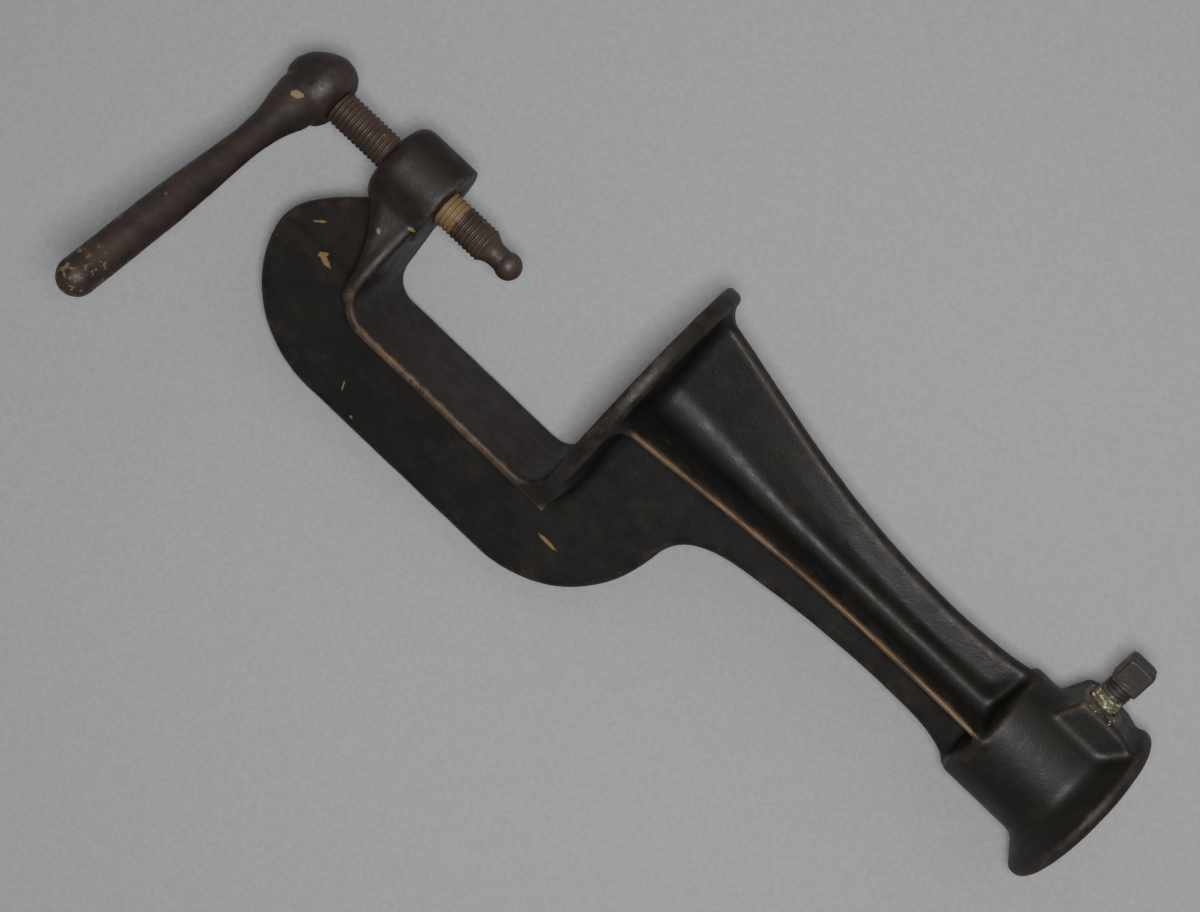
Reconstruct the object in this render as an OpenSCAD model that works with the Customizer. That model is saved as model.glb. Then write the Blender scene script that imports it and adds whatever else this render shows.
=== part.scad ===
// Cast-iron table clamp and pedestal of a hand-cranked apple peeler.
// The origin is where the clamp screw's axis meets the underside of the round table plate.
// +Z runs up the pedestal, and +X points from the screw to the back of the C-shaped clamp.
// All sizes are millimetres.

/* [Table plate] */
// Radius of the round plate that rests on the table top
plate_r = 56; // [50:1:60]
// Thickness of the plate at its rim
plate_rim_t = 8; // [5:0.5:9]
// Thickness of the plate where it runs into the pedestal
plate_mid_t = 10; // [9:0.5:12]
// How far the pedestal's axis stands off the screw's axis, towards the plate's free end
pedestal_shift = 2.5; // [0:0.5:4]

/* [Pedestal] */
// Height of the socket's lower end above the table
socket_z = 203.5; // [180:0.5:230]
// Thickness of the fore-and-aft web
web_t = 8; // [6:0.5:10]
// Thickness of the cross web
cross_t = 5; // [4:0.5:7]
// How far the fore-and-aft web reaches towards the free end, at the pedestal's waist
waist_front = 26.6; // [24:0.2:30]
// How far it reaches towards the back, at the waist
waist_back = 19.7; // [18:0.1:24]
// Half width of the cross web at the waist
waist_side = 27.3; // [24:0.1:30]
// Half width of the webs where they meet the plate
foot = 49; // [42:1:52]

/* [Socket] */
// Outer radius of the post socket
socket_r = 29; // [27:0.5:32]
// Radius of the bore that takes the post
post_r = 19.05; // [15:0.05:20]
// Depth of the post's bore
post_depth = 48; // [35:1:50]
// Height of the socket, from its lower end to the top of the rim
socket_h = 54; // [52:0.5:70]
// Radius of the rolled rim
rim_r = 40.6; // [36:0.1:42]
// Thickness of the rolled rim
rim_t = 8; // [6:0.5:10]

/* [Clamp] */
// Distance from the screw's axis to the inner face of the clamp's back
throat = 53.8; // [48:0.2:60]
// Distance from the screw's axis to the outer edge of the clamp's back
back_x = 105; // [98:1:112]
// Drop from the table plate to the top of the lower arm
jaw = 110.5; // [100:0.5:120]
// Width of the flange that lines the inside of the clamp
flange_w = 59; // [44:1:62]
// Thickness of that flange
flange_t = 6; // [4:0.5:8]
// Radius of the boss that the clamp screw runs in
boss_r = 19.8; // [17:0.2:22]
// Height of the screw's boss
boss_h = 31.3; // [24:0.1:34]
// How far the boss stands proud of the arm
boss_proud = 1.2; // [0:0.1:3]

/* [Clamp screw] */
// Radius of the thread's crests
screw_r = 7.94; // [7:0.01:8]
// Height of the thread's upper end, at rest
thread_top_z = -85; // [-88:0.5:-82]
// Height of the centre of the ball end, at rest
ball_z = -73.5; // [-76:0.1:-71]
// Radius of the ball end
ball_r = 6.2; // [5:0.1:6.5]
// Radius of the neck under the ball
neck_r = 5.2; // [3.5:0.1:5.5]
// Radius of the tang that is riveted through the lever's hub
tang_r = 5.95; // [5:0.05:6.5]

/* [Lever] */
// Height of the hub's upper face, at rest
hub_top_z = -171.7; // [-174:0.1:-169]
// Height of the hub
hub_h = 26.3; // [23:0.1:28]
// Largest radius of the hub
hub_r = 16.6; // [14:0.1:18]
// Height of the lever's centre line, at rest
lever_z = -184.5; // [-187:0.1:-183]
// Length of the lever, from the screw's axis to the centre of its rounded tip
lever_l = 144; // [110:1:160]
// Radius of the lever where it leaves the hub
lever_root_r = 11; // [9:0.5:12]
// Radius of the lever at its neck
lever_neck_r = 6.6; // [6:0.1:8]
// Radius of the lever's rounded tip
lever_tip_r = 8.4; // [7:0.1:10]
// Direction that the lever points in at rest, in degrees from +X
lever_turn = -56; // [-90:1:-30]

/* [Set screw] */
// Height of the set screw's axis above the table
set_z = 229.5; // [226:0.5:236]
// Radius of the set screw's shank
set_r = 6.35; // [5:0.05:7]
// Width across the flats of the set screw's square head
set_head_w = 12.7; // [11:0.1:14]
// Length of the set screw's head
set_head_l = 12.8; // [10:0.1:18]

/* [Hidden] */
$fn = 64;
run_gap = 0.06;                             // radial clearance of a running fit
sink = 0.5;                                 // how deep joined shapes run into each other
plate_x = -pedestal_shift;                  // axis of the plate, the pedestal and the socket
socket_top = socket_z + socket_h;
post_floor = socket_top - post_depth;
cross_x = plate_x - cross_t / 2 + 1;        // rear-facing side of the cross web
lug_x = -43;                                // outer face of the set screw's lug
lug_w = 30;                                 // width of that lug
lug_low = 216.5;                            // lower end of that lug
set_head_x = -53.2;                         // where the head of the set screw starts
set_tip_x = plate_x - post_r - 0.8;         // tip of the set screw, just clear of the post
hub_low_z = hub_top_z - hub_h;
iron = [0.13, 0.12, 0.11];
rust = [0.24, 0.18, 0.15];

// Points of a cubic curve from a to d, drawn towards b and c
function curve(a, b, c, d, n = 10) = [for (i = [0:n]) let (t = i / n, s = 1 - t)
    s * s * s * a + 3 * s * s * t * b + 3 * s * t * t * c + t * t * t * d];

// Points of a round corner from angle a0 to a1, in degrees
function arc(c, r, a0, a1, n = 8) = [for (i = [0:n]) let (a = a0 + (a1 - a0) * i / n)
    c + r * [cos(a), sin(a)]];

// An outline drawn in X and Z, given a thickness that is centred on the middle plane
module upright(t, y = 0) {
    translate([0, y + t / 2, 0])
        rotate([90, 0, 0])
            linear_extrude(height = t)
                children();
}

// The web: both edges of the pedestal, the shoulder and the whole back of the clamp
module main_web() {
    front = -waist_front;
    back = waist_back;
    low = -jaw - boss_h + boss_proud;
    free_edge = curve([plate_x - foot, plate_mid_t - 2], [-44.5, 44], [front, 93], [front, 158.5]);
    free_top = curve([front, 158.5], [front, 178], [front - 1.6, 192], [plate_x - 28.5, socket_z + sink]);
    back_top = curve([plate_x + 29.5, socket_z + sink], [back + 1.1, 194.5], [back, 184.5], [back, 166.5]);
    back_edge = curve([back, 166.5], [back, 133.5], [22.6, 108.5], [26.6, 82.5]);
    shoulder = curve([26.6, 82.5], [29.6, 67], [35, 58.2], [47, 55.8]);
    upper_turn = curve([47, 55.8], [81.5, 53.5], [back_x, 29], [back_x, -4], 16);
    lower_turn = curve([back_x + 0.4, -100], [back_x + 2.4, low + 9], [86, low - 18], [56, low - 20.4], 16);
    under_arm = curve([56, low - 20.4], [43, low - 20.6], [33, low - 10], [20, low + 4]);
    upright(web_t)
        polygon(concat(free_edge, free_top, back_top, back_edge, shoulder, upper_turn, lower_turn,
            under_arm, [[12, low + 4], [12, -jaw - 2], [throat + 2, -jaw - 2], [throat + 2, 2], [0, 2]]));
}

// The cross web, which flares out to the plate like the bell of a trumpet
module cross_web() {
    side = concat(curve([socket_r - 0.6, socket_z + sink], [waist_side, 183.5], [waist_side, 163.5],
        [waist_side + 0.5, 142.5]),
        curve([waist_side + 0.5, 142.5], [waist_side + 1.2, 108.5], [35, 73.5], [42, 40.5]),
        curve([42, 40.5], [45, 28.5], [47, 18.5], [foot, plate_rim_t - 1]));
    left = [for (p = side) [-p[0], p[1]]];
    right = [for (i = [len(side) - 1:-1:0]) side[i]];
    translate([cross_x, 0, 0])
        rotate([90, 0, 90])
            linear_extrude(height = cross_t)
                polygon(concat(left, right));
}

// The round plate, flat below and slightly crowned above
module table_plate() {
    low_edge = 2;
    top_edge = 3.5;
    translate([plate_x, 0, 0])
        rotate_extrude($fn = 96)
            polygon(concat([[0, 0]], arc([plate_r - low_edge, low_edge], low_edge, -90, 0),
                arc([plate_r - top_edge, plate_rim_t - top_edge], top_edge, 0, 80),
                [[30, plate_mid_t - 0.5], [0, plate_mid_t]]));
}

// The socket for the post, with its rolled rim
module socket_body() {
    lip = rim_t / 2;
    translate([plate_x, 0, 0])
        rotate_extrude($fn = 96)
            polygon(concat([[0, socket_z - 5], [socket_r - 5, socket_z - 3]],
                arc([socket_r - 3, socket_z + 1], 3, -60, 0),
                [[socket_r, socket_top - 15], [socket_r + 2, socket_top - 13.5]],
                arc([rim_r - lip, socket_top - lip], lip, -50, 90),
                [[0, socket_top]]));
}

// The lug that the set screw is tapped into
module set_lug() {
    difference() {
        upright(lug_w)
            polygon([[plate_x - 20, lug_low], [plate_x - 27, lug_low], [lug_x + 2.4, lug_low + 4.5],
                [lug_x, lug_low + 9], [lug_x + 0.6, set_z + 4], [lug_x + 1.6, set_z + 13],
                [lug_x + 4.5, socket_top - 6], [plate_x - 20, socket_top - 6]]);
        // The lug's two outer corners are cut back
        for (s = [-1, 1])
            translate([lug_x, s * lug_w / 2, lug_low - 1])
                rotate([0, 0, 45])
                    translate([-1.8, -1.8, 0])
                        cube([3.6, 3.6, 60]);
    }
}

// The flange that lines the clamp: down the back, round the corner and along the lower arm
module clamp_flange() {
    r_top = 12;
    r_low = 12;
    inner = concat([[34, plate_rim_t - 1], [34, sink]],
        arc([throat - r_top, -r_top], r_top, 90, 0),
        arc([throat - r_low, -jaw + r_low], r_low, 0, -90), [[0, -jaw]]);
    outer = concat([[0, -jaw - flange_t]],
        arc([throat - r_low, -jaw + r_low], r_low + flange_t, -90, 0),
        [[throat + flange_t, plate_rim_t - 1]]);
    taper = curve([boss_r * 0.3, boss_r - 0.6], [18, 22], [28, flange_w / 2], [42, flange_w / 2]);
    half = concat([[0, 0], [0, boss_r - 0.6]], taper, [[throat + 10, flange_w / 2], [throat + 10, 0]]);
    intersection() {
        upright(flange_w)
            polygon(concat(inner, outer));
        translate([0, 0, -jaw - 20])
            linear_extrude(height = jaw + 30)
                for (s = [0, 1])
                    mirror([0, s])
                        polygon(half);
    }
}

// The thick root of the lower arm, which swells from the flange into the boss
module arm_root() {
    boss_low = -jaw + boss_proud - boss_h;
    upright(2 * boss_r - 3)
        polygon(concat([[0, -jaw - 1], [50, -jaw - 1]],
            curve([50, -jaw - 5], [36, -jaw - 6], [24, -jaw - 12], [13, boss_low + 4]),
            [[0, boss_low + 4]]));
}

// The boss at the end of the lower arm
module screw_boss() {
    top_edge = 1.2;
    low_edge = 7;
    top = -jaw + boss_proud;
    low = top - boss_h;
    rotate_extrude($fn = 96)
        polygon(concat([[0, low]], arc([boss_r - low_edge, low + low_edge], low_edge, -90, 0),
            arc([boss_r - top_edge, top - top_edge], top_edge, 0, 90), [[0, top]]));
}

module clamp_frame() {
    color(iron)
        difference() {
            union() {
                main_web();
                cross_web();
                table_plate();
                socket_body();
                set_lug();
                clamp_flange();
                arm_root();
                screw_boss();
            }
            // Bore for the post
            translate([plate_x, 0, post_floor])
                cylinder(r = post_r, h = post_depth + 1, $fn = 96);
            // Bore for the clamp screw
            translate([0, 0, -jaw - boss_h])
                cylinder(r = screw_r + run_gap, h = boss_h + 3, $fn = 96);
            // Hole for the set screw
            translate([lug_x - 1, 0, set_z])
                rotate([0, 90, 0])
                    cylinder(r = set_r + run_gap, h = plate_x - post_r / 2 - lug_x, $fn = 96);
        }
}

// The clamp screw: a riveted tang, the threaded length, a waisted neck and a ball end
module clamp_screw() {
    neck_z = ball_z - 6.5;
    color(rust)
        rotate_extrude($fn = 96)
            polygon(concat([[0, hub_low_z - 0.5], [tang_r - 2, hub_low_z - 0.4],
                [tang_r, hub_low_z + 0.6], [tang_r, hub_top_z], [screw_r, hub_top_z],
                [screw_r, thread_top_z - 1.2], [screw_r - 1, thread_top_z],
                [neck_r + 0.4, neck_z - 1.5], [neck_r, neck_z], [neck_r, ball_z - 3.4]],
                arc([0, ball_z], ball_r, -33, 90, 12)));
}

// The lever: a ball-like hub, a flared root and a bar that swells to a round tip
module lever_handle() {
    bulge_z = hub_low_z + 15;
    hub = concat([[0, hub_low_z], [5, hub_low_z]],
        curve([5, hub_low_z], [9, hub_low_z + 0.8], [15, hub_low_z + 8], [hub_r, bulge_z]),
        curve([hub_r, bulge_z], [hub_r, bulge_z + 6.5], [14, hub_top_z - 1.6], [10.6, hub_top_z]),
        [[0, hub_top_z]]);
    bar = concat([[0, 0], [lever_root_r, 0], [lever_root_r, 12]],
        curve([lever_root_r, 12], [lever_root_r - 0.2, 22], [lever_neck_r + 0.7, 24.5],
            [lever_neck_r + 0.1, 44]),
        curve([lever_neck_r + 0.1, 44], [lever_neck_r, 58], [lever_tip_r - 0.2, 76],
            [lever_tip_r, 98]),
        arc([0, lever_l], lever_tip_r, 0, 90, 12));
    color(rust)
        difference() {
            union() {
                rotate_extrude($fn = 96)
                    polygon(hub);
                translate([0, 0, lever_z])
                    rotate([0, 90, lever_turn])
                        rotate_extrude($fn = 64)
                            polygon(bar);
            }
            translate([0, 0, hub_low_z - 1])
                cylinder(r = tang_r + run_gap, h = hub_h + 2, $fn = 96);
        }
}

module set_screw() {
    chamfer = 1.6;
    color(rust) {
        translate([set_head_x - sink, 0, set_z])
            rotate([0, 90, 0])
                cylinder(r = set_r, h = set_tip_x - chamfer - set_head_x + sink, $fn = 96);
        translate([set_tip_x - chamfer, 0, set_z])
            rotate([0, 90, 0])
                cylinder(r1 = set_r, r2 = set_r - chamfer, h = chamfer, $fn = 96);
        intersection() {
            translate([set_head_x - set_head_l, -set_head_w / 2, set_z - set_head_w / 2])
                cube([set_head_l, set_head_w, set_head_w]);
            // The head's corners are turned off at both ends
            translate([set_head_x - set_head_l, 0, set_z])
                rotate([0, 90, 0])
                    rotate_extrude($fn = 64)
                        polygon([[0, 0], [set_head_w * 0.47, 0], [set_head_w * 0.71, 2.2],
                            [set_head_w * 0.71, set_head_l - 1.5], [set_head_w * 0.56, set_head_l],
                            [0, set_head_l]]);
        }
    }
}

clamp_frame();
clamp_screw();
lever_handle();
set_screw();
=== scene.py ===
import math

import bpy
import numpy as np
from mathutils import Matrix, Vector, noise


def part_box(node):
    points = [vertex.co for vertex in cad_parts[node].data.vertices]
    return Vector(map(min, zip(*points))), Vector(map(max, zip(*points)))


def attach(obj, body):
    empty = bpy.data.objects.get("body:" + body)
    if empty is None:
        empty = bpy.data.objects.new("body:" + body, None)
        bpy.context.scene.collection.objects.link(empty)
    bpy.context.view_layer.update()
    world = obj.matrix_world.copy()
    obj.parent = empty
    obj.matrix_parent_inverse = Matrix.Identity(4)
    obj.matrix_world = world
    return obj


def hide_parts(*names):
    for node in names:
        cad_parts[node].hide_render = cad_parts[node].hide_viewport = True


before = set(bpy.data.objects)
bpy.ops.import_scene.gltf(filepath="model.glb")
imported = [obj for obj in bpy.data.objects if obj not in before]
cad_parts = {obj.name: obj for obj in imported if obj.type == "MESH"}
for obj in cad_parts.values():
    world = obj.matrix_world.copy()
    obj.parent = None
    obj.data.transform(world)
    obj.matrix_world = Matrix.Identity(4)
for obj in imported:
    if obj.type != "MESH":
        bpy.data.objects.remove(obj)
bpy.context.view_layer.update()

MM = 0.001                      # this script works in millimetres
BOX = {node: [np.array(corner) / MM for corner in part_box(node)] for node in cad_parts}

# ---------------------------------------------------------------- main dimensions
# Lengths are in millimetres. _r is a radius, _t a thickness and _half half a width.
frame_low, frame_high = BOX["clamp_frame"]
screw_low, screw_high = BOX["clamp_screw"]
lever_low, lever_high = BOX["lever_handle"]
set_low, set_high = BOX["set_screw"]

# The table plate, the post socket and the pedestal's waist
plate_r = frame_high[1]                     # the round table plate is the widest thing across Y
plate_x = -2.5                              # axis of the plate, the pedestal and the socket
plate_rim_t = 8.0
plate_mid_t = 10.0
socket_top = frame_high[2]
socket_z = socket_top - 54
socket_r = 29.0
post_r = 19.05
post_depth = 48.0
rim_r = 40.6
rim_t = 8.0
waist_front = 26.6
waist_back = 19.7
waist_side = 27.3
foot = 49.0
web_t = 8.0
# The C-shaped clamp, its flange and the boss
throat = 53.8
back_x = frame_high[0] - 0.6
jaw = 110.5
flange_half = 29.5
flange_near_half = 18.8                     # the flange is narrower at the screw
flange_t = 4.8
throat_corner_r = 12
boss_r = 19.8
boss_h = 31.3
boss_proud = 1.2
boss_low = -jaw + boss_proud - boss_h
# The set screw and its lug
lug_x = -43.0
lug_half = 15.0
lug_low = 216.5
set_z = (set_low[2] + set_high[2]) / 2
set_r = 6.35
set_head_w = set_high[1] - set_low[1]
set_head_x = -53.2
# The clamp screw and the lever
screw_r = screw_high[0]
ball_r = 6.2
ball_z = screw_high[2] - ball_r
neck_r = 5.2
thread_top_z = -85.0
tang_r = 5.95
hub_low_z = lever_low[2]
hub_top_z = lever_high[2]
hub_r = -lever_low[0]
lever_tip_r = 8.4
lever_neck_r = 6.6
lever_root_r = 11.0
lever_z = -184.5
tip_x = lever_high[0] - lever_tip_r
tip_y = lever_low[1] + lever_tip_r
lever_l = math.hypot(tip_x, tip_y)
lever_turn = math.atan2(tip_y, tip_x)       # in radians, from +X
INCH = 25.4
screw_lead = INCH / 11
set_lead = INCH / 13
# Spacing of the sample points that each piece's mesh is made from
casting_pitch = 1.2
screw_pitch = 0.38
lever_pitch = 0.72
set_screw_pitch = 0.42
DIAGONAL = 0.7071                           # scales a 45 degree face's field to true distance


# ---------------------------------------------------------------- outlines
def curve(a, b, c, d, n=10):
    """Points of a cubic curve from a to d, drawn towards b and c."""
    a, b, c, d = (np.array(p, float) for p in (a, b, c, d))
    return [a * (1 - t) ** 3 + b * 3 * t * (1 - t) ** 2 + c * 3 * t * t * (1 - t) + d * t ** 3
            for t in np.linspace(0, 1, n + 1)]


def arc(centre, r, a0, a1, n=10):
    """Points of a round corner from angle a0 to a1, in degrees."""
    return [np.array([centre[0] + r * math.cos(a), centre[1] + r * math.sin(a)])
            for a in np.radians(np.linspace(a0, a1, n + 1))]


def outline_distance(u, v, points):
    """Distance of (u, v) from a closed outline, negative inside."""
    u, v = np.broadcast_arrays(u, v)
    p = np.array([np.array(q, float) for q in points])
    nearest = np.full(u.shape, 1e12)
    inside = np.zeros(u.shape, bool)
    for (ax, ay), (bx, by) in zip(p, np.roll(p, -1, axis=0)):
        ex, ey = bx - ax, by - ay
        length2 = ex * ex + ey * ey
        if length2 < 1e-12:
            continue
        du, dv = u - ax, v - ay
        t = np.clip((du * ex + dv * ey) / length2, 0, 1)
        nearest = np.minimum(nearest, (du - ex * t) ** 2 + (dv - ey * t) ** 2)
        if ey != 0:
            crosses = (ay > v) != (by > v)
            inside ^= crosses & (u < ax + (v - ay) * ex / ey)
    return np.where(inside, -1, 1) * np.sqrt(nearest)


# ---------------------------------------------------------------- solids as distance fields
class Grid:
    """A block of sample points in millimetres."""

    def __init__(self, low, high, pitch):
        self.low = np.array(low, float) - 2.5 * pitch
        self.pitch = pitch
        counts = np.ceil((np.array(high) - self.low) / pitch + 3.5).astype(int)
        axes = [self.low[i] + pitch * np.arange(counts[i]) for i in range(3)]
        self.x = axes[0][:, None, None]
        self.y = axes[1][None, :, None]
        self.z = axes[2][None, None, :]

    def revolved(self, points, x=0.0):
        """A solid turned about the upright axis at x, from an outline in radius and Z."""
        r = np.hypot(self.x - x, self.y)[:, :, 0]
        step = self.pitch / 2
        radii = np.arange(0, r.max() + 2 * step, step)
        table = outline_distance(radii[:, None], self.z[0], points).astype(np.float32)
        place = r / step
        first = np.floor(place).astype(int)
        part = (place - first)[:, :, None].astype(np.float32)
        return table[first] * (1 - part) + table[first + 1] * part


def meet(a, b, r):
    """What a and b share, with the edge between them rounded to r."""
    return np.minimum(-r, np.maximum(a, b)) + np.hypot(np.maximum(a + r, 0), np.maximum(b + r, 0))


def join(a, b, r):
    """a and b together, with a fillet of radius r between them."""
    return np.maximum(r, np.minimum(a, b)) - np.hypot(np.maximum(r - a, 0), np.maximum(r - b, 0))


def ease(value, start, end):
    """0 before start, 1 after end, smooth between."""
    t = np.clip((value - start) / (end - start), 0, 1)
    return t * t * (3 - 2 * t)


def trilinear(values, at):
    """values of a grid at fractional places."""
    top = np.array(values.shape) - 2
    base = np.clip(np.floor(at).astype(int), 0, top)
    f = (at - base).astype(np.float32)
    total = 0
    for corner in np.ndindex(2, 2, 2):
        weight = np.prod([f[:, i] if corner[i] else 1 - f[:, i] for i in range(3)], axis=0)
        total = total + weight * values[tuple((base + corner).T)]
    return total


def box_blur(values, radius):
    """values averaged over a cube, twice, so that the result is smooth."""
    for _ in range(2):
        for axis in range(3):
            margins = [(radius + 1, radius) if i == axis else (0, 0) for i in range(3)]
            padded = np.pad(values, margins, mode="edge")
            total = np.cumsum(padded, axis=axis, dtype=np.float64)
            width = 2 * radius + 1
            upper = np.take(total, np.arange(width, total.shape[axis]), axis=axis)
            lower = np.take(total, np.arange(0, total.shape[axis] - width), axis=axis)
            values = ((upper - lower) / width).astype(np.float32)
    return values


def skin(field, grid, wear_mm):
    """The surface where field is 0: its points, its quads and how far each point stands proud."""
    inside = field < 0
    cells = tuple(n - 1 for n in field.shape)
    corners = list(np.ndindex(2, 2, 2))

    def at_corner(values, c):
        return values[c[0]:c[0] + cells[0], c[1]:c[1] + cells[1], c[2]:c[2] + cells[2]]

    filled = sum(at_corner(inside, c).astype(np.int8) for c in corners)
    active = (filled > 0) & (filled < 8)
    index = np.full(cells, -1, np.int64)
    index[active] = np.arange(active.sum())
    base = np.argwhere(active)
    value = {c: field[tuple((base + c).T)] for c in corners}
    total = np.zeros((len(base), 3))
    hits = np.zeros(len(base))
    for a in corners:
        for axis in range(3):
            if a[axis]:
                continue
            b = tuple(1 if i == axis else a[i] for i in range(3))
            cut = (value[a] < 0) != (value[b] < 0)
            t = value[a][cut] / (value[a][cut] - value[b][cut])
            point = np.array(a, float) + np.outer(t, np.eye(3)[axis])
            total[cut] += point
            hits[cut] += 1
    place = base + total / hits[:, None]
    # Settle the points on the surface, by at most a part of a cell each time
    most_move = 0.6
    least_slope = 0.05
    for _ in range(2):
        d = trilinear(field, place)
        slope = np.stack([trilinear(field, place + e) - trilinear(field, place - e)
                          for e in np.eye(3) * 0.5], axis=1)
        steepness = np.maximum((slope ** 2).sum(1), least_slope)
        place -= np.clip(d, -most_move, most_move)[:, None] * slope / steepness[:, None]
    quads = []
    for axis in range(3):
        u, v = [i for i in range(3) if i != axis]
        step = np.eye(3, dtype=int)
        low = inside[tuple(slice(0, -1) if i == axis else slice(1, -1) for i in range(3))]
        high = inside[tuple(slice(1, None) if i == axis else slice(1, -1) for i in range(3))]
        edge = np.argwhere(low != high)
        outward = low[tuple(edge.T)]
        if axis == 1:
            outward = ~outward
        cell = edge + step[u] + step[v]
        ring = [cell - step[u] - step[v], cell - step[v], cell, cell - step[u]]
        quad = np.stack([index[tuple(c.T)] for c in ring], axis=1)
        quads.append(np.where(outward[:, None], quad, quad[:, ::-1]))
    solid = np.clip(0.5 - field / grid.pitch, 0, 1).astype(np.float32)
    open_share = 0.5 - trilinear(box_blur(solid, max(1, round(wear_mm / grid.pitch))), place)
    return grid.low + place * grid.pitch, np.concatenate(quads), open_share


def roughen(points, quads, depth, size):
    """Small casting unevenness, pushed inwards only, so that the piece keeps its size."""
    a, b, c, d = (points[quads[:, i]] for i in range(4))
    face = np.cross(c - a, d - b)
    normals = np.zeros_like(points)
    for i in range(4):
        np.add.at(normals, quads[:, i], face)
    normals /= np.maximum(np.linalg.norm(normals, axis=1), 1e-9)[:, None]
    lumps = np.array([noise.noise(p / size) + 0.5 * noise.noise(p / size * 2.3)
                      for p in map(Vector, points)])
    return points - normals * (depth * (0.5 + 0.5 * np.clip(lumps * 1.4, -1, 1)))[:, None]


def make_piece(name, mesh, body, node, material, turn=0.0):
    """A finished piece in the scene that stands for a CAD node."""
    points, quads, proud = mesh
    if turn:
        c, s = math.cos(turn), math.sin(turn)
        points = points @ np.array([[c, s, 0], [-s, c, 0], [0, 0, 1]])
    data = bpy.data.meshes.new(name)
    data.vertices.add(len(points))
    data.vertices.foreach_set("co", (points * MM).ravel())
    data.loops.add(quads.size)
    data.loops.foreach_set("vertex_index", quads.ravel())
    data.polygons.add(len(quads))
    data.polygons.foreach_set("loop_start", np.arange(0, quads.size, 4))
    data.update(calc_edges=True)
    data.validate()
    data.polygons.foreach_set("use_smooth", np.ones(len(data.polygons), bool))
    wear = data.attributes.new("proud", "FLOAT", "POINT")
    wear.data.foreach_set("value", proud.astype(np.float32))
    data.materials.append(material)
    piece = bpy.data.objects.new(name, data)
    bpy.context.scene.collection.objects.link(piece)
    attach(piece, body)
    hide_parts(node)
    return piece


# ---------------------------------------------------------------- the casting
def web_outline():
    """The fore-and-aft web: the pedestal's edges, the shoulder and the C-shaped back."""
    front = -waist_front
    back = waist_back
    low = boss_low
    bottom = low - 20.4
    seat = socket_z + 0.5
    free_edge = curve((plate_x - foot, plate_mid_t - 2), (-44.5, 44), (front, 93),
                      (front, 158.5), 20)
    free_top = curve((front, 158.5), (front, 178), (front - 1.6, 192), (plate_x - 28.5, seat))
    back_top = curve((plate_x + 29.5, seat), (back + 1.1, 194.5), (back, 184.5), (back, 166.5))
    back_edge = curve((back, 166.5), (back, 133.5), (22.6, 108.5), (26.6, 82.5))
    shoulder = curve((26.6, 82.5), (29.6, 67), (35, 58.2), (47, 55.8))
    upper_turn = curve((47, 55.8), (81.5, 53.5), (back_x, 29), (back_x, -4), 20)
    lower_turn = curve((back_x + 0.4, -100), (back_x + 2.4, low + 9), (86, low - 18),
                       (56, bottom), 20)
    under_arm = curve((56, bottom), (43, low - 20.6), (33, low - 10), (20, low + 4))
    inner_edge = [(12, low + 4), (12, -jaw - 2), (throat + 2, -jaw - 2), (throat + 2, 2), (0, 2)]
    return (free_edge + free_top + back_top + back_edge + shoulder + upper_turn + lower_turn
            + under_arm + inner_edge)


def cross_outline():
    """The cross web, from the plate up to the socket, as half widths at heights."""
    side = (curve((socket_r - 0.4, socket_z + 0.5), (waist_side, 183.5), (waist_side, 163.5),
                  (waist_side + 0.5, 142.5))
            + curve((waist_side + 0.5, 142.5), (waist_side + 1.2, 108.5), (35, 73.5), (42, 40.5))
            + curve((42, 40.5), (45, 28.5), (47, 18.5), (foot, plate_rim_t - 1)))
    return [(-u, v) for u, v in side] + side[::-1]


def plate_outline():
    """Half of the round table plate's section, in radius and Z."""
    low_edge = 2.0
    top_edge = 3.5
    return ([(0, 0)] + arc((plate_r - low_edge, low_edge), low_edge, -90, 0)
            + arc((plate_r - top_edge, plate_rim_t - top_edge), top_edge, 0, 80)
            + [(30, plate_mid_t - 0.5), (0, plate_mid_t)])


def socket_outline():
    """Half of the cup's section, solid, with its rolled rim, in radius and Z."""
    lip = rim_t / 2
    return ([(0, socket_z - 5), (socket_r - 5, socket_z - 3)]
            + arc((socket_r - 3, socket_z + 1), 3, -60, 0)
            + curve((socket_r, socket_top - 19), (socket_r, socket_top - 13),
                    (rim_r - 7, socket_top - 12), (rim_r - 1.5, socket_top - 6.6))
            + arc((rim_r - lip, socket_top - lip), lip, -40, 90) + [(0, socket_top)])


def boss_outline():
    """Half of the screw's boss's section, solid, in radius and Z."""
    top_edge = 1.3
    low_edge = 7
    top = -jaw + boss_proud
    return ([(0, boss_low)] + arc((boss_r - low_edge, boss_low + low_edge), low_edge, -90, 0)
            + arc((boss_r - top_edge, top - top_edge), top_edge, 0, 90) + [(0, top)])


def throat_outline():
    """The open space between the plate and the arm, with the flange's rounded inner corners."""
    r = throat_corner_r
    far = -200
    return ([(far, 0)] + arc((throat - r, -r), r, 90, 0)
            + arc((throat - r, -jaw + r), r, 0, -90) + [(far, -jaw)])


def flange_outline():
    """The flange that lines the clamp, in X and Z."""
    r = throat_corner_r
    start = 34
    return ([(start, 0)] + arc((throat - r, -r), r, 90, 0)
            + arc((throat - r, -jaw + r), r, 0, -90)
            + [(0, -jaw), (0, -jaw - flange_t)]
            + arc((throat - r, -jaw + r), r + flange_t, -90, 0)
            + [(throat + flange_t, plate_rim_t), (start, plate_rim_t)])


def arm_outline():
    """The thick root of the lower arm, in X and Z."""
    return ([(0, -jaw - 1), (50, -jaw - 1)]
            + curve((50, -jaw - 5), (36, -jaw - 6), (24, -jaw - 12), (13, boss_low + 4))
            + [(0, boss_low + 4)])


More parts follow.
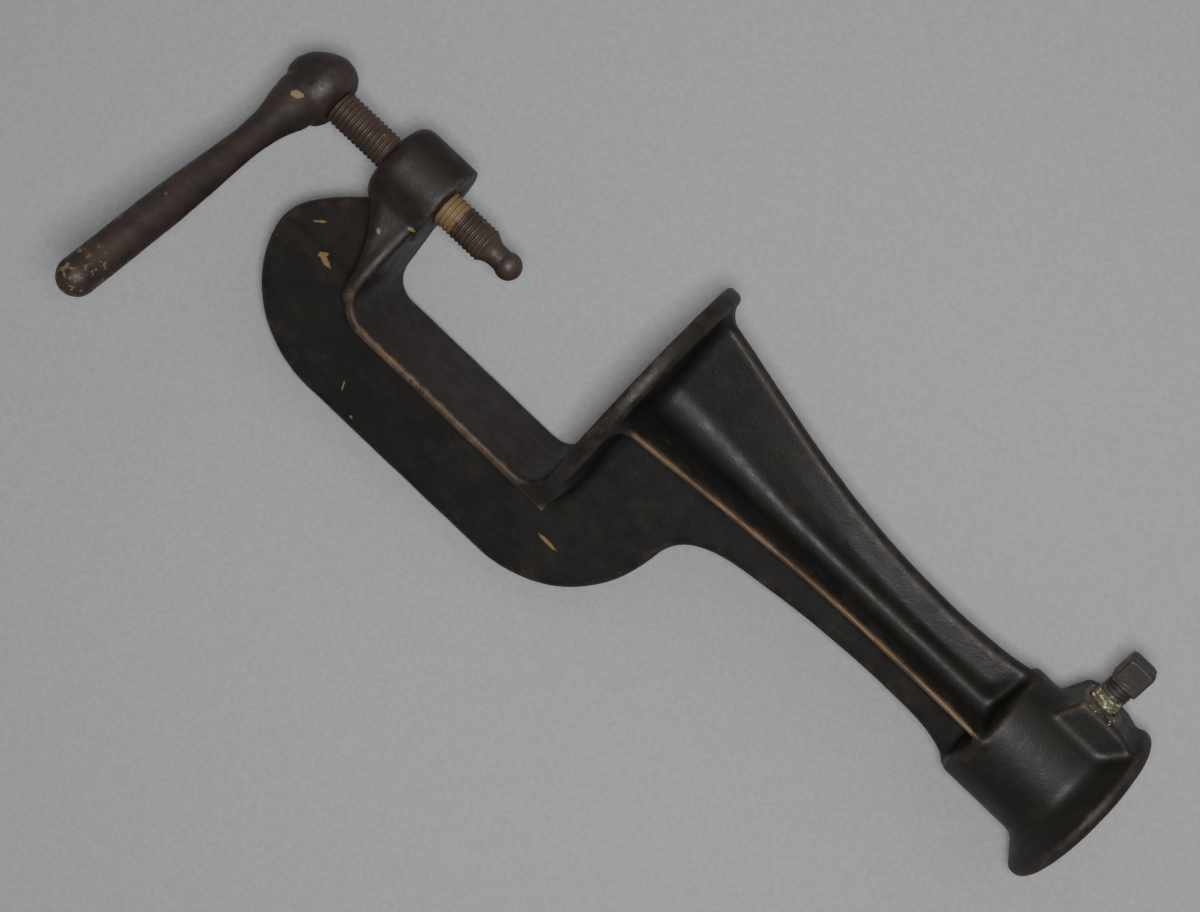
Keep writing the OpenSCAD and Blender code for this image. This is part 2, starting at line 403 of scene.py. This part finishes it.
def lug_outline():
    """The set screw's lug on the side of the socket, in X and Z."""
    inner = plate_x - 20
    top = socket_top - 6
    return [(inner, lug_low), (plate_x - 27, lug_low), (lug_x + 2.4, lug_low + 4.5),
            (lug_x, lug_low + 9), (lug_x + 0.6, set_z + 4), (lug_x + 1.6, set_z + 13),
            (lug_x + 4.5, top), (inner, top)]


def clamp_frame_mesh():
    """The casting: crossed webs, table plate, C-shaped clamp, socket, lug, boss and bores."""
    g = Grid(frame_low, frame_high, casting_pitch)
    # The fore-and-aft web, with a crest that thickens inwards from its free edge
    web_2d = outline_distance(g.x, g.z, web_outline())
    crest = ease(-g.x, 5, 15) * ease(g.z, 40, 130) * (1 - ease(g.z, 190, 204))
    crest_slope, crest_most = 0.2, 2.4
    web_half = web_t / 2 + crest * np.clip(-web_2d * crest_slope, 0, crest_most)
    web = meet(web_2d, np.abs(g.y) - web_half, 3.0)
    # The cross web, thin at its edges
    cross_2d = outline_distance(g.y, g.z, cross_outline())
    cross_face = plate_x - 1.5
    cross_slope, cross_edge_t, cross_more_t = 0.12, 2.5, 2.5
    cross_t = cross_edge_t + np.clip(-cross_2d * cross_slope, 0, cross_more_t)
    cross = meet(cross_2d, np.maximum(cross_face - g.x, g.x - cross_face - cross_t), 1.1)
    fillet_r = 8 + 5 * ease(-g.z, -90, -5)                  # fuller towards the plate
    total = join(web, cross, fillet_r)
    total = join(total, g.revolved(plate_outline(), plate_x), 7.0)
    # The flange that lines the clamp, and the arm that carries the boss
    widening = flange_half - flange_near_half
    width = flange_near_half + widening * ease(g.x, 6, 44)
    flange_edge_r = 2.2
    flange = meet(outline_distance(g.x, g.z, flange_outline()), np.abs(g.y) - width,
                  flange_edge_r)
    arm = meet(outline_distance(g.x, g.z, arm_outline()), np.abs(g.y) - width,
               flange_edge_r + 5 * (1 - ease(g.x, 8, 40)))
    total = join(total, join(flange, arm, 3.0), 8.5)
    # The socket's cup, and the set screw's lug with its two upright chamfers
    socket = g.revolved(socket_outline(), plate_x)
    lug = meet(outline_distance(g.x, g.z, lug_outline()), np.abs(g.y) - lug_half, 2.0)
    lug = meet(lug, (np.abs(g.y) - g.x + lug_x - lug_half) * DIAGONAL + 1.8, 0.8)
    total = join(total, join(socket, lug, 2.0), 3.0)
    total = np.maximum(total, -outline_distance(g.x, g.z, throat_outline()))
    total = join(total, g.revolved(boss_outline()), 2.0)
    # The post's bore, the clamp screw's and the set screw's, with clearance for the threads
    mouth_r = 0.8
    post = np.maximum(np.hypot(g.x - plate_x, g.y) - post_r, socket_top - post_depth - g.z)
    total = meet(total, -post, 1.2)
    bore = np.maximum(np.hypot(g.x, g.y) - screw_r - 0.12, g.z + jaw / 2)
    total = meet(total, -bore, mouth_r)
    hole = np.maximum(np.hypot(g.z - set_z, g.y) - set_r - 0.1, g.x - plate_x)
    total = meet(total, -hole, mouth_r)
    points, quads, proud = skin(total.astype(np.float32), g, 2.6)
    return roughen(points, quads, 0.18, 13.0), quads, proud


# ---------------------------------------------------------------- the screws and the lever
def thread(u, v, along, r, lead, depth):
    """A right-hand thread about the along axis. u and v cross it in right-handed order."""
    phase = along / lead - np.arctan2(v, u) / (2 * math.pi)
    ridge = np.abs(2 * (phase - np.floor(phase)) - 1)
    flank = np.clip(ridge * 1.45, 0.12, 1)
    return (np.hypot(u, v) - r + depth * (1 - flank)) * 0.75


def clamp_screw_mesh():
    """The screw: the lever's tang at the bottom, the thread, a waisted neck and a ball end."""
    g = Grid(screw_low, screw_high, screw_pitch)
    neck_z = ball_z - 6.5
    core_r = screw_r - 1.3
    step_z = hub_top_z + 0.6
    core = g.revolved([(0, screw_low[2]), (tang_r - 2, screw_low[2] + 0.1),
                       (tang_r, hub_low_z + 0.6), (tang_r, step_z), (core_r, step_z),
                       (core_r, thread_top_z)]
                      + curve((screw_r - 1.0, thread_top_z), (screw_r - 1.6, thread_top_z + 1.5),
                              (neck_r, neck_z - 2), (neck_r, neck_z))
                      + [(neck_r, ball_z - 3.4)] + arc((0, ball_z), ball_r, -33, 90, 16))
    ridge = thread(g.x, g.y, g.z, screw_r, screw_lead, 0.85)
    ridge = np.maximum(ridge, hub_top_z - g.z)
    # The thread ends in a cone at the neck
    cone = (g.z - thread_top_z - 1.5 + (np.hypot(g.x, g.y) - neck_r) * 0.8) * 0.78
    total = join(core, np.maximum(ridge, cone), 0.5)
    points, quads, proud = skin(total.astype(np.float32), g, 0.9)
    return roughen(points, quads, 0.06, 2.5), quads, proud


def lever_mesh():
    """The lever as it would point along +X; make_piece turns it to its rest direction."""
    g = Grid((-hub_r, -hub_r, hub_low_z), (lever_l + lever_tip_r, hub_r, hub_top_z),
             lever_pitch)
    bulge_z = hub_low_z + 15
    hub = g.revolved(
        [(0, hub_low_z), (5, hub_low_z)]
        + curve((5, hub_low_z), (9, hub_low_z + 0.8), (15, hub_low_z + 8), (hub_r, bulge_z))
        + curve((hub_r, bulge_z), (hub_r, bulge_z + 6.5), (14, hub_top_z - 1.6), (10.6, hub_top_z))
        + [(0, hub_top_z)])
    # The bar's outline in length and radius: the knuckle, a narrow neck and the club end
    knuckle = 10.5
    knuckle_r = lever_root_r + 0.9
    profile = (arc((knuckle, 0), knuckle_r, 180, 70, 12)
               + curve((knuckle + knuckle_r * 0.342, knuckle_r * 0.94), (22, lever_root_r),
                       (24.5, lever_neck_r + 0.7), (44, lever_neck_r + 0.1), 14)
               + curve((44, lever_neck_r + 0.1), (58, lever_neck_r), (76, lever_tip_r - 0.2),
                       (98, lever_tip_r), 14)
               + arc((lever_l, 0), lever_tip_r, 90, 0, 14))
    # The bar is round about its own axis, so its field is a table in length and radius
    across = np.hypot(g.y, g.z - lever_z)
    step = g.pitch / 2
    place = across[0] / step
    radii = np.arange(0, across.max() + g.pitch, step)
    table = outline_distance(g.x[:, 0], radii[None, :], profile).astype(np.float32)
    first = np.floor(place).astype(int)
    part = place - first
    bar = table[:, first] * (1 - part) + table[:, first + 1] * part
    total = join(hub, bar, 0.6)
    total = np.maximum(total, hub_low_z - g.z)
    total = meet(total, tang_r + 0.1 - np.hypot(g.x, g.y), 0.5)
    points, quads, proud = skin(total.astype(np.float32), g, 2.2)
    return roughen(points, quads, 0.2, 6.0), quads, proud


def set_screw_mesh():
    """The set screw: a square head with a domed end and a bevelled skirt, and a short shank."""
    g = Grid(set_low, set_high, set_screw_pitch)
    z = g.z - set_z
    half = set_head_w / 2
    r = np.hypot(g.y, z)
    chamfer = 1.6
    ridge = thread(g.y, z, g.x, set_r, set_lead, 1.05)
    shank = np.minimum(ridge, r - set_r + 1.1)
    tip = (g.x - set_high[0] + chamfer + r - set_r) * DIAGONAL
    shank = np.maximum(np.maximum(shank, tip), np.maximum(g.x - set_high[0], set_head_x - 2 - g.x))
    head = meet(meet(np.abs(g.y) - half, np.abs(z) - half, 0.9),
                np.maximum(set_low[0] - g.x, g.x - set_head_x), 0.7)
    dome = (r - set_head_w * 0.56 - (g.x - set_low[0]) * 1.4) * 0.58
    skirt = (r - set_head_w * 0.64 + (g.x - set_head_x)) * DIAGONAL
    head = np.maximum(np.maximum(head, dome), skirt)
    total = join(head, shank, 0.8)
    points, quads, proud = skin(total.astype(np.float32), g, 0.9)
    return roughen(points, quads, 0.08, 2.5), quads, proud


# ---------------------------------------------------------------- materials
JAPANNING, WARM_JAPANNING = (0.0082, 0.0080, 0.0068), (0.0135, 0.0118, 0.0092)
BROWN_MOTTLE = (0.028, 0.020, 0.014)
RUBBED_THROAT = (0.0190, 0.0125, 0.0100)
DULLED_EDGE = (0.044, 0.029, 0.021)
BARE_IRON = (0.165, 0.105, 0.060)
OCHRE_PAINT = (0.24, 0.155, 0.062)
GREASE = (0.17, 0.150, 0.085)
WHITE_SPECK = (0.52, 0.50, 0.38)
THREAD_GREASE = (0.20, 0.135, 0.060)
LEVER_PAINT = (0.20, 0.135, 0.07)
FLOOR_GREY, FLOOR_PALE_GREY = (0.325, 0.325, 0.328), (0.365, 0.365, 0.368)


class Shader:
    """A node material built by short calls."""

    def __init__(self, name):
        self.material = bpy.data.materials.new(name)
        self.material.use_nodes = True
        self.tree = self.material.node_tree
        self.tree.nodes.clear()
        self.bsdf = self.node("ShaderNodeBsdfPrincipled")
        out = self.node("ShaderNodeOutputMaterial")
        self.tree.links.new(self.bsdf.outputs[0], out.inputs[0])
        self.place = self.node("ShaderNodeTexCoord").outputs["Object"]

    def node(self, kind):
        """A new node of this kind."""
        return self.tree.nodes.new(kind)

    def put(self, socket, value):
        """Feeds a socket from another node's output, or sets it to a plain value."""
        if isinstance(value, bpy.types.NodeSocket):
            self.tree.links.new(value, socket)
        else:
            socket.default_value = value

    def math(self, operation, a, b=0.0):
        """One arithmetic step on one or two values."""
        n = self.node("ShaderNodeMath")
        n.operation = operation
        self.put(n.inputs[0], a)
        self.put(n.inputs[1], b)
        return n.outputs[0]

    def swing(self, value, depth):
        """How far value is from 0.5, times depth."""
        return self.math("MULTIPLY", self.math("SUBTRACT", value, 0.5), depth)

    def noise(self, size_mm, detail=4.0, roughness=0.55):
        """Values from about 0.2 to 0.8 that vary over size_mm."""
        n = self.node("ShaderNodeTexNoise")
        n.inputs["Scale"].default_value = 1 / (size_mm * MM)
        n.inputs["Detail"].default_value = detail
        n.inputs["Roughness"].default_value = roughness
        self.put(n.inputs["Vector"], self.place)
        return n.outputs[0]

    def spread(self, value, low, high, out_low=0.0, out_high=1.0):
        """value's range low to high becomes out_low to out_high, smoothly and with limits."""
        n = self.node("ShaderNodeMapRange")
        n.interpolation_type = "SMOOTHSTEP"
        for socket, number in zip(n.inputs[:5], (value, low, high, out_low, out_high)):
            self.put(socket, number)
        return n.outputs[0]

    def mix(self, share, a, b):
        """Colour a where share is 0, and colour b where it is 1."""
        n = self.node("ShaderNodeMix")
        n.data_type = "RGBA"
        self.put(n.inputs[0], share)
        for socket, colour in ((n.inputs[6], a), (n.inputs[7], b)):
            self.put(socket, colour if isinstance(colour, bpy.types.NodeSocket) else (*colour, 1.0))
        return n.outputs[2]

    def proud(self):
        """How far the surface stands proud here: above 0 on an edge, below 0 in a corner."""
        n = self.node("ShaderNodeAttribute")
        n.attribute_name = "proud"
        return n.outputs["Fac"]

    def axis(self, letter):
        """The place along X, Y or Z, in metres."""
        n = self.node("ShaderNodeSeparateXYZ")
        self.put(n.inputs[0], self.place)
        return n.outputs[letter]

    def fleck(self, centre, size, turn, ragged):
        """1 inside a small streak at centre, with sizes in millimetres and a turn about Y."""
        n = self.node("ShaderNodeMapping")
        n.vector_type = "TEXTURE"
        n.inputs["Location"].default_value = [c * MM for c in centre]
        n.inputs["Rotation"].default_value = (0, math.radians(turn), 0)
        n.inputs["Scale"].default_value = [s * MM for s in size]
        self.put(n.inputs["Vector"], self.place)
        length = self.node("ShaderNodeVectorMath")
        length.operation = "LENGTH"
        self.put(length.inputs[0], n.outputs[0])
        edge = self.math("ADD", length.outputs["Value"], ragged)
        return self.spread(edge, 1.25, 0.95)

    def bump(self, height, depth_mm, normal=None):
        """A normal that makes height look depth_mm deep, on top of an earlier normal."""
        n = self.node("ShaderNodeBump")
        n.inputs["Distance"].default_value = depth_mm * MM
        self.put(n.inputs["Height"], height)
        if normal:
            self.put(n.inputs["Normal"], normal)
        return n.outputs[0]

    def finish(self, colour, roughness, metallic, normal, specular):
        """Feeds the surface shader, and gives the material."""
        self.put(self.bsdf.inputs["Base Color"], colour)
        self.put(self.bsdf.inputs["Roughness"], roughness)
        self.put(self.bsdf.inputs["Metallic"], metallic)
        self.put(self.bsdf.inputs["Normal"], normal)
        self.bsdf.inputs["Specular IOR Level"].default_value = specular
        return self.material


def ragged_edge(s):
    """Noise that makes a fleck's outline ragged."""
    return s.swing(s.noise(2.4, 3, 0.6), 1.6)


def japanned_iron():
    """Old black japanning on cast iron, worn through to brown iron along the edges."""
    s = Shader("japanned_iron")
    cloud = s.noise(38, 3)
    mottle = s.noise(7, 5, 0.6)
    grit = s.noise(1.1, 3, 0.6)
    colour = s.mix(s.spread(cloud, 0.35, 0.68), JAPANNING, WARM_JAPANNING)
    colour = s.mix(s.spread(mottle, 0.54, 0.76, 0, 0.5), colour, BROWN_MOTTLE)
    # The faces that line the throat are browner, where the table's edge has rubbed them.
    inner = s.math("MULTIPLY", s.spread(s.axis("X"), (throat - 3) * MM, (throat + 1) * MM),
                   s.spread(s.axis("X"), (throat + 7) * MM, (throat + 3) * MM))
    inner = s.math("MULTIPLY", inner, s.spread(s.axis("Z"), -4 * MM, -9 * MM))
    arm = s.math("MULTIPLY", s.spread(s.axis("Z"), (-jaw + 8) * MM, (-jaw - 4) * MM),
                 s.spread(s.axis("X"), (throat + 2) * MM, (throat - 10) * MM))
    inner = s.math("MAXIMUM", inner, s.math("MULTIPLY", arm, 0.7))
    colour = s.mix(s.math("MULTIPLY", inner, 0.9), colour, RUBBED_THROAT)
    proud = s.proud()
    uneven = s.math("ADD", proud, s.swing(mottle, 0.34))
    uneven = s.math("ADD", uneven, s.swing(grit, 0.12))
    dulled = s.spread(uneven, 0.06, 0.19)
    bare = s.spread(uneven, 0.16, 0.27)
    colour = s.mix(s.math("MULTIPLY", dulled, 0.6), colour, DULLED_EDGE)
    bare_share = s.math("MULTIPLY", bare, s.spread(cloud, 0.36, 0.6, 0.3, 0.9))
    colour = s.mix(bare_share, colour, BARE_IRON)
    # Flecks of ochre paint: each one's centre and size in millimetres, and its turn
    edge = ragged_edge(s)
    near = -web_t / 2
    flecks = [((78.4, near, 18.2), (4.4, 3, 0.8), 91), ((54.5, near, -134.2), (3.6, 3, 1.3), 108),
              ((53.2, near, -136.2), (2.6, 3, 0.9), 40), ((43, near, -146.4), (2.8, 3, 0.55), 50),
              ((92, near, -93), (2.2, 3, 0.35), -22), ((100.1, near, -81.6), (0.7, 3, 0.5), 90),
              ((51.6, -24, -113.1), (1.6, 4, 2.2), 30), ((19.9, -18, -121.6), (0.9, 5, 1.5), 20),
              ((10.6, -18, -112), (0.7, 4, 1.6), 0)]
    paint = s.fleck(*flecks[0], edge)
    for fleck in flecks[1:]:
        paint = s.math("MAXIMUM", paint, s.fleck(*fleck, edge))
    colour = s.mix(s.math("MULTIPLY", paint, 0.75), colour, OCHRE_PAINT)
    # Dried grease round the set screw, with white specks in it
    grease = s.fleck((lug_x, -2, set_z), (4, 11, 10), 0, edge)
    colour = s.mix(s.math("MULTIPLY", grease, 0.30), colour, GREASE)
    specks = s.math("MULTIPLY", grease, s.spread(s.noise(1.7, 2), 0.63, 0.70))
    colour = s.mix(specks, colour, WHITE_SPECK)
    roughness = s.spread(mottle, 0.3, 0.7, 0.42, 0.56)
    roughness = s.math("ADD", roughness, s.math("MULTIPLY", dulled, 0.06))
    normal = s.bump(grit, 0.13)
    normal = s.bump(s.noise(4.0, 2, 0.5), 0.10, normal)
    return s.finish(colour, roughness, s.math("MULTIPLY", bare, 0.4), normal, 0.30)


def brown_steel(name, dark, light, gleam, residue):
    """Brown rust patina over steel, lighter where handling or wear has rubbed it.

    residue adds the piece's own grease or paint to the colour."""
    s = Shader(name)
    cloud = s.noise(16, 3)
    mottle = s.noise(3.2, 5, 0.62)
    grit = s.noise(0.8, 3, 0.6)
    colour = s.mix(s.spread(cloud, 0.36, 0.66), dark, light)
    colour = s.mix(s.spread(mottle, 0.5, 0.75, 0, 0.6), colour, tuple(c * 0.45 for c in dark))
    rubbed = s.math("ADD", s.proud(), s.swing(mottle, 0.25))
    bare = s.spread(rubbed, 0.12, 0.27)
    colour = s.mix(s.math("MULTIPLY", bare, 0.6), colour, gleam)
    colour = residue(s, colour, mottle)
    roughness = s.spread(mottle, 0.3, 0.7, 0.42, 0.62)
    normal = s.bump(grit, 0.09)
    normal = s.bump(mottle, 0.12, normal)
    return s.finish(colour, roughness, s.math("MULTIPLY", bare, 0.55), normal, 0.45)


def screw_residue(s, colour, mottle):
    """Dried yellow grease on the thread just above the boss, and specks of it below."""
    height = s.axis("Z")
    middle = (-jaw + 4.5) * MM
    away = s.math("ABSOLUTE", s.math("SUBTRACT", height, middle))
    band = s.spread(s.math("ADD", away, s.swing(mottle, 6 * MM)), 6.2 * MM, 3.8 * MM)
    specks = s.spread(s.noise(3.6, 2), 0.68, 0.73, 0, 0.7)
    share = s.math("MAXIMUM", s.math("MULTIPLY", band, 0.8), specks)
    return s.mix(share, colour, THREAD_GREASE)


def lever_residue(s, colour, _mottle):
    """Specks of old paint on the knuckle and the tip."""
    specks = s.spread(s.noise(5.0, 3), 0.69, 0.74, 0, 0.6)
    edge = ragged_edge(s)
    tip = s.fleck((tip_x, tip_y, lever_z), (13, 13, 13), 0, 0.0)
    tip_specks = s.math("MULTIPLY", tip, s.spread(s.noise(2.6, 2), 0.56, 0.64, 0, 0.6))
    specks = s.math("MAXIMUM", specks, tip_specks)
    specks = s.math("MAXIMUM", specks, s.fleck((1.2, -19.7, lever_z), (2.4, 4, 1.2), 70, edge))
    return s.mix(specks, colour, LEVER_PAINT)


def set_residue(s, colour, mottle):
    """Dried grease and white specks where the set screw enters its lug."""
    place = s.math("ADD", s.axis("X"), s.swing(mottle, 8 * MM))
    band = s.spread(place, (lug_x - 6) * MM, (lug_x - 2) * MM)
    specks = s.math("MULTIPLY", band, s.spread(s.noise(1.7, 2), 0.55, 0.62))
    colour = s.mix(s.math("MULTIPLY", band, 0.6), colour, GREASE)
    return s.mix(specks, colour, WHITE_SPECK)


def floor_material():
    """A plain grey backdrop with a fine, faint grain."""
    s = Shader("floor")
    grain = s.noise(2.2, 4, 0.7)
    colour = s.mix(s.spread(grain, 0.35, 0.65), FLOOR_GREY, FLOOR_PALE_GREY)
    return s.finish(colour, 0.6, 0.0, s.bump(s.noise(2.5, 3), 0.10), 0.15)


# ---------------------------------------------------------------- pieces
make_piece("clamp_frame_casting", clamp_frame_mesh(), "frame", "clamp_frame",
           japanned_iron())
make_piece("clamp_screw_threaded", clamp_screw_mesh(), "screw", "clamp_screw",
           brown_steel("screw_steel", dark=(0.036, 0.023, 0.017), light=(0.062, 0.037, 0.027),
                       gleam=(0.13, 0.085, 0.062), residue=screw_residue))
make_piece("lever_casting", lever_mesh(), "lever", "lever_handle",
           brown_steel("lever_iron", dark=(0.021, 0.0145, 0.0115), light=(0.040, 0.024, 0.018),
                       gleam=(0.085, 0.055, 0.040), residue=lever_residue),
           turn=lever_turn)
make_piece("set_screw_threaded", set_screw_mesh(), "locking_screw", "set_screw",
           brown_steel("set_screw_steel", dark=(0.021, 0.0165, 0.0135),
                       light=(0.034, 0.026, 0.021), gleam=(0.14, 0.085, 0.045),
                       residue=set_residue))

# ---------------------------------------------------------------- camera, floor and light
camera_at = (-373.0, -949.2, 35.5)
azimuth = math.radians(23.2)
pitch = math.radians(-1.46)
roll = math.radians(133.64)
ahead = Vector((math.sin(azimuth) * math.cos(pitch), math.cos(azimuth) * math.cos(pitch),
                math.sin(pitch)))
right = Vector((math.cos(azimuth), -math.sin(azimuth), 0))
up = right.cross(ahead)
camera_x = right * math.cos(roll) + up * math.sin(roll)
camera_y = -right * math.sin(roll) + up * math.cos(roll)
camera = bpy.data.objects.new("camera", bpy.data.cameras.new("camera"))
bpy.context.scene.collection.objects.link(camera)
camera.matrix_world = Matrix((
    *((camera_x[i], camera_y[i], -ahead[i], camera_at[i] * MM) for i in range(3)),
    (0, 0, 0, 1)))
camera.data.sensor_width = 36
camera.data.lens = 72.9
camera.data.clip_end = 20
bpy.context.scene.camera = camera

# The clamp lies on its side. The floor is a plane along the plate's rim and the socket's rim,
# a little way behind them, so that the rims' roundings don't cut through it.
floor_gap = 1.0
floor_reach = 3000
lean = math.atan2(plate_r - rim_r, socket_top - rim_t / 2)
down = Vector((math.sin(azimuth) * math.cos(lean), math.cos(azimuth) * math.cos(lean),
               math.sin(lean)))
touch = Vector((plate_x, 0, 0)) + Vector((math.sin(azimuth), math.cos(azimuth), 0)) * plate_r
middle = Vector((20, 0, 30))
floor_at = middle + down * ((touch - middle).dot(down) + floor_gap)
floor_data = bpy.data.meshes.new("floor")
side = right * floor_reach
rise = down.cross(right).normalized() * floor_reach
floor_data.from_pydata([(floor_at + a * side + b * rise) * MM for a, b in
                        ((-1, -1), (1, -1), (1, 1), (-1, 1))], [], [(0, 1, 2, 3)])
floor = bpy.data.objects.new("floor", floor_data)
floor_data.materials.append(floor_material())
bpy.context.scene.collection.objects.link(floor)


def soft_light(name, offset, size, power):
    """A square soft light at an offset in the camera's own right, up and back directions."""
    light = bpy.data.objects.new(name, bpy.data.lights.new(name, "AREA"))
    light.data.shape = "SQUARE"
    light.data.size = size
    light.data.energy = power
    place = middle * MM + camera_x * offset[0] + camera_y * offset[1] - ahead * offset[2]
    aim = (middle * MM - place).to_track_quat("-Z", "Y").to_matrix().to_4x4()
    light.matrix_world = Matrix.Translation(place) @ aim
    bpy.context.scene.collection.objects.link(light)


soft_light("flash", (0.0, -0.05, 1.05), 0.16, 9.6)
soft_light("fill", (0.7, 0.9, 1.6), 1.6, 7)
world = bpy.data.worlds.new("world")
world.use_nodes = True
world.node_tree.nodes["Background"].inputs[0].default_value = (0.95, 0.97, 1.0, 1)
world.node_tree.nodes["Background"].inputs[1].default_value = 0.22
bpy.context.scene.world = world
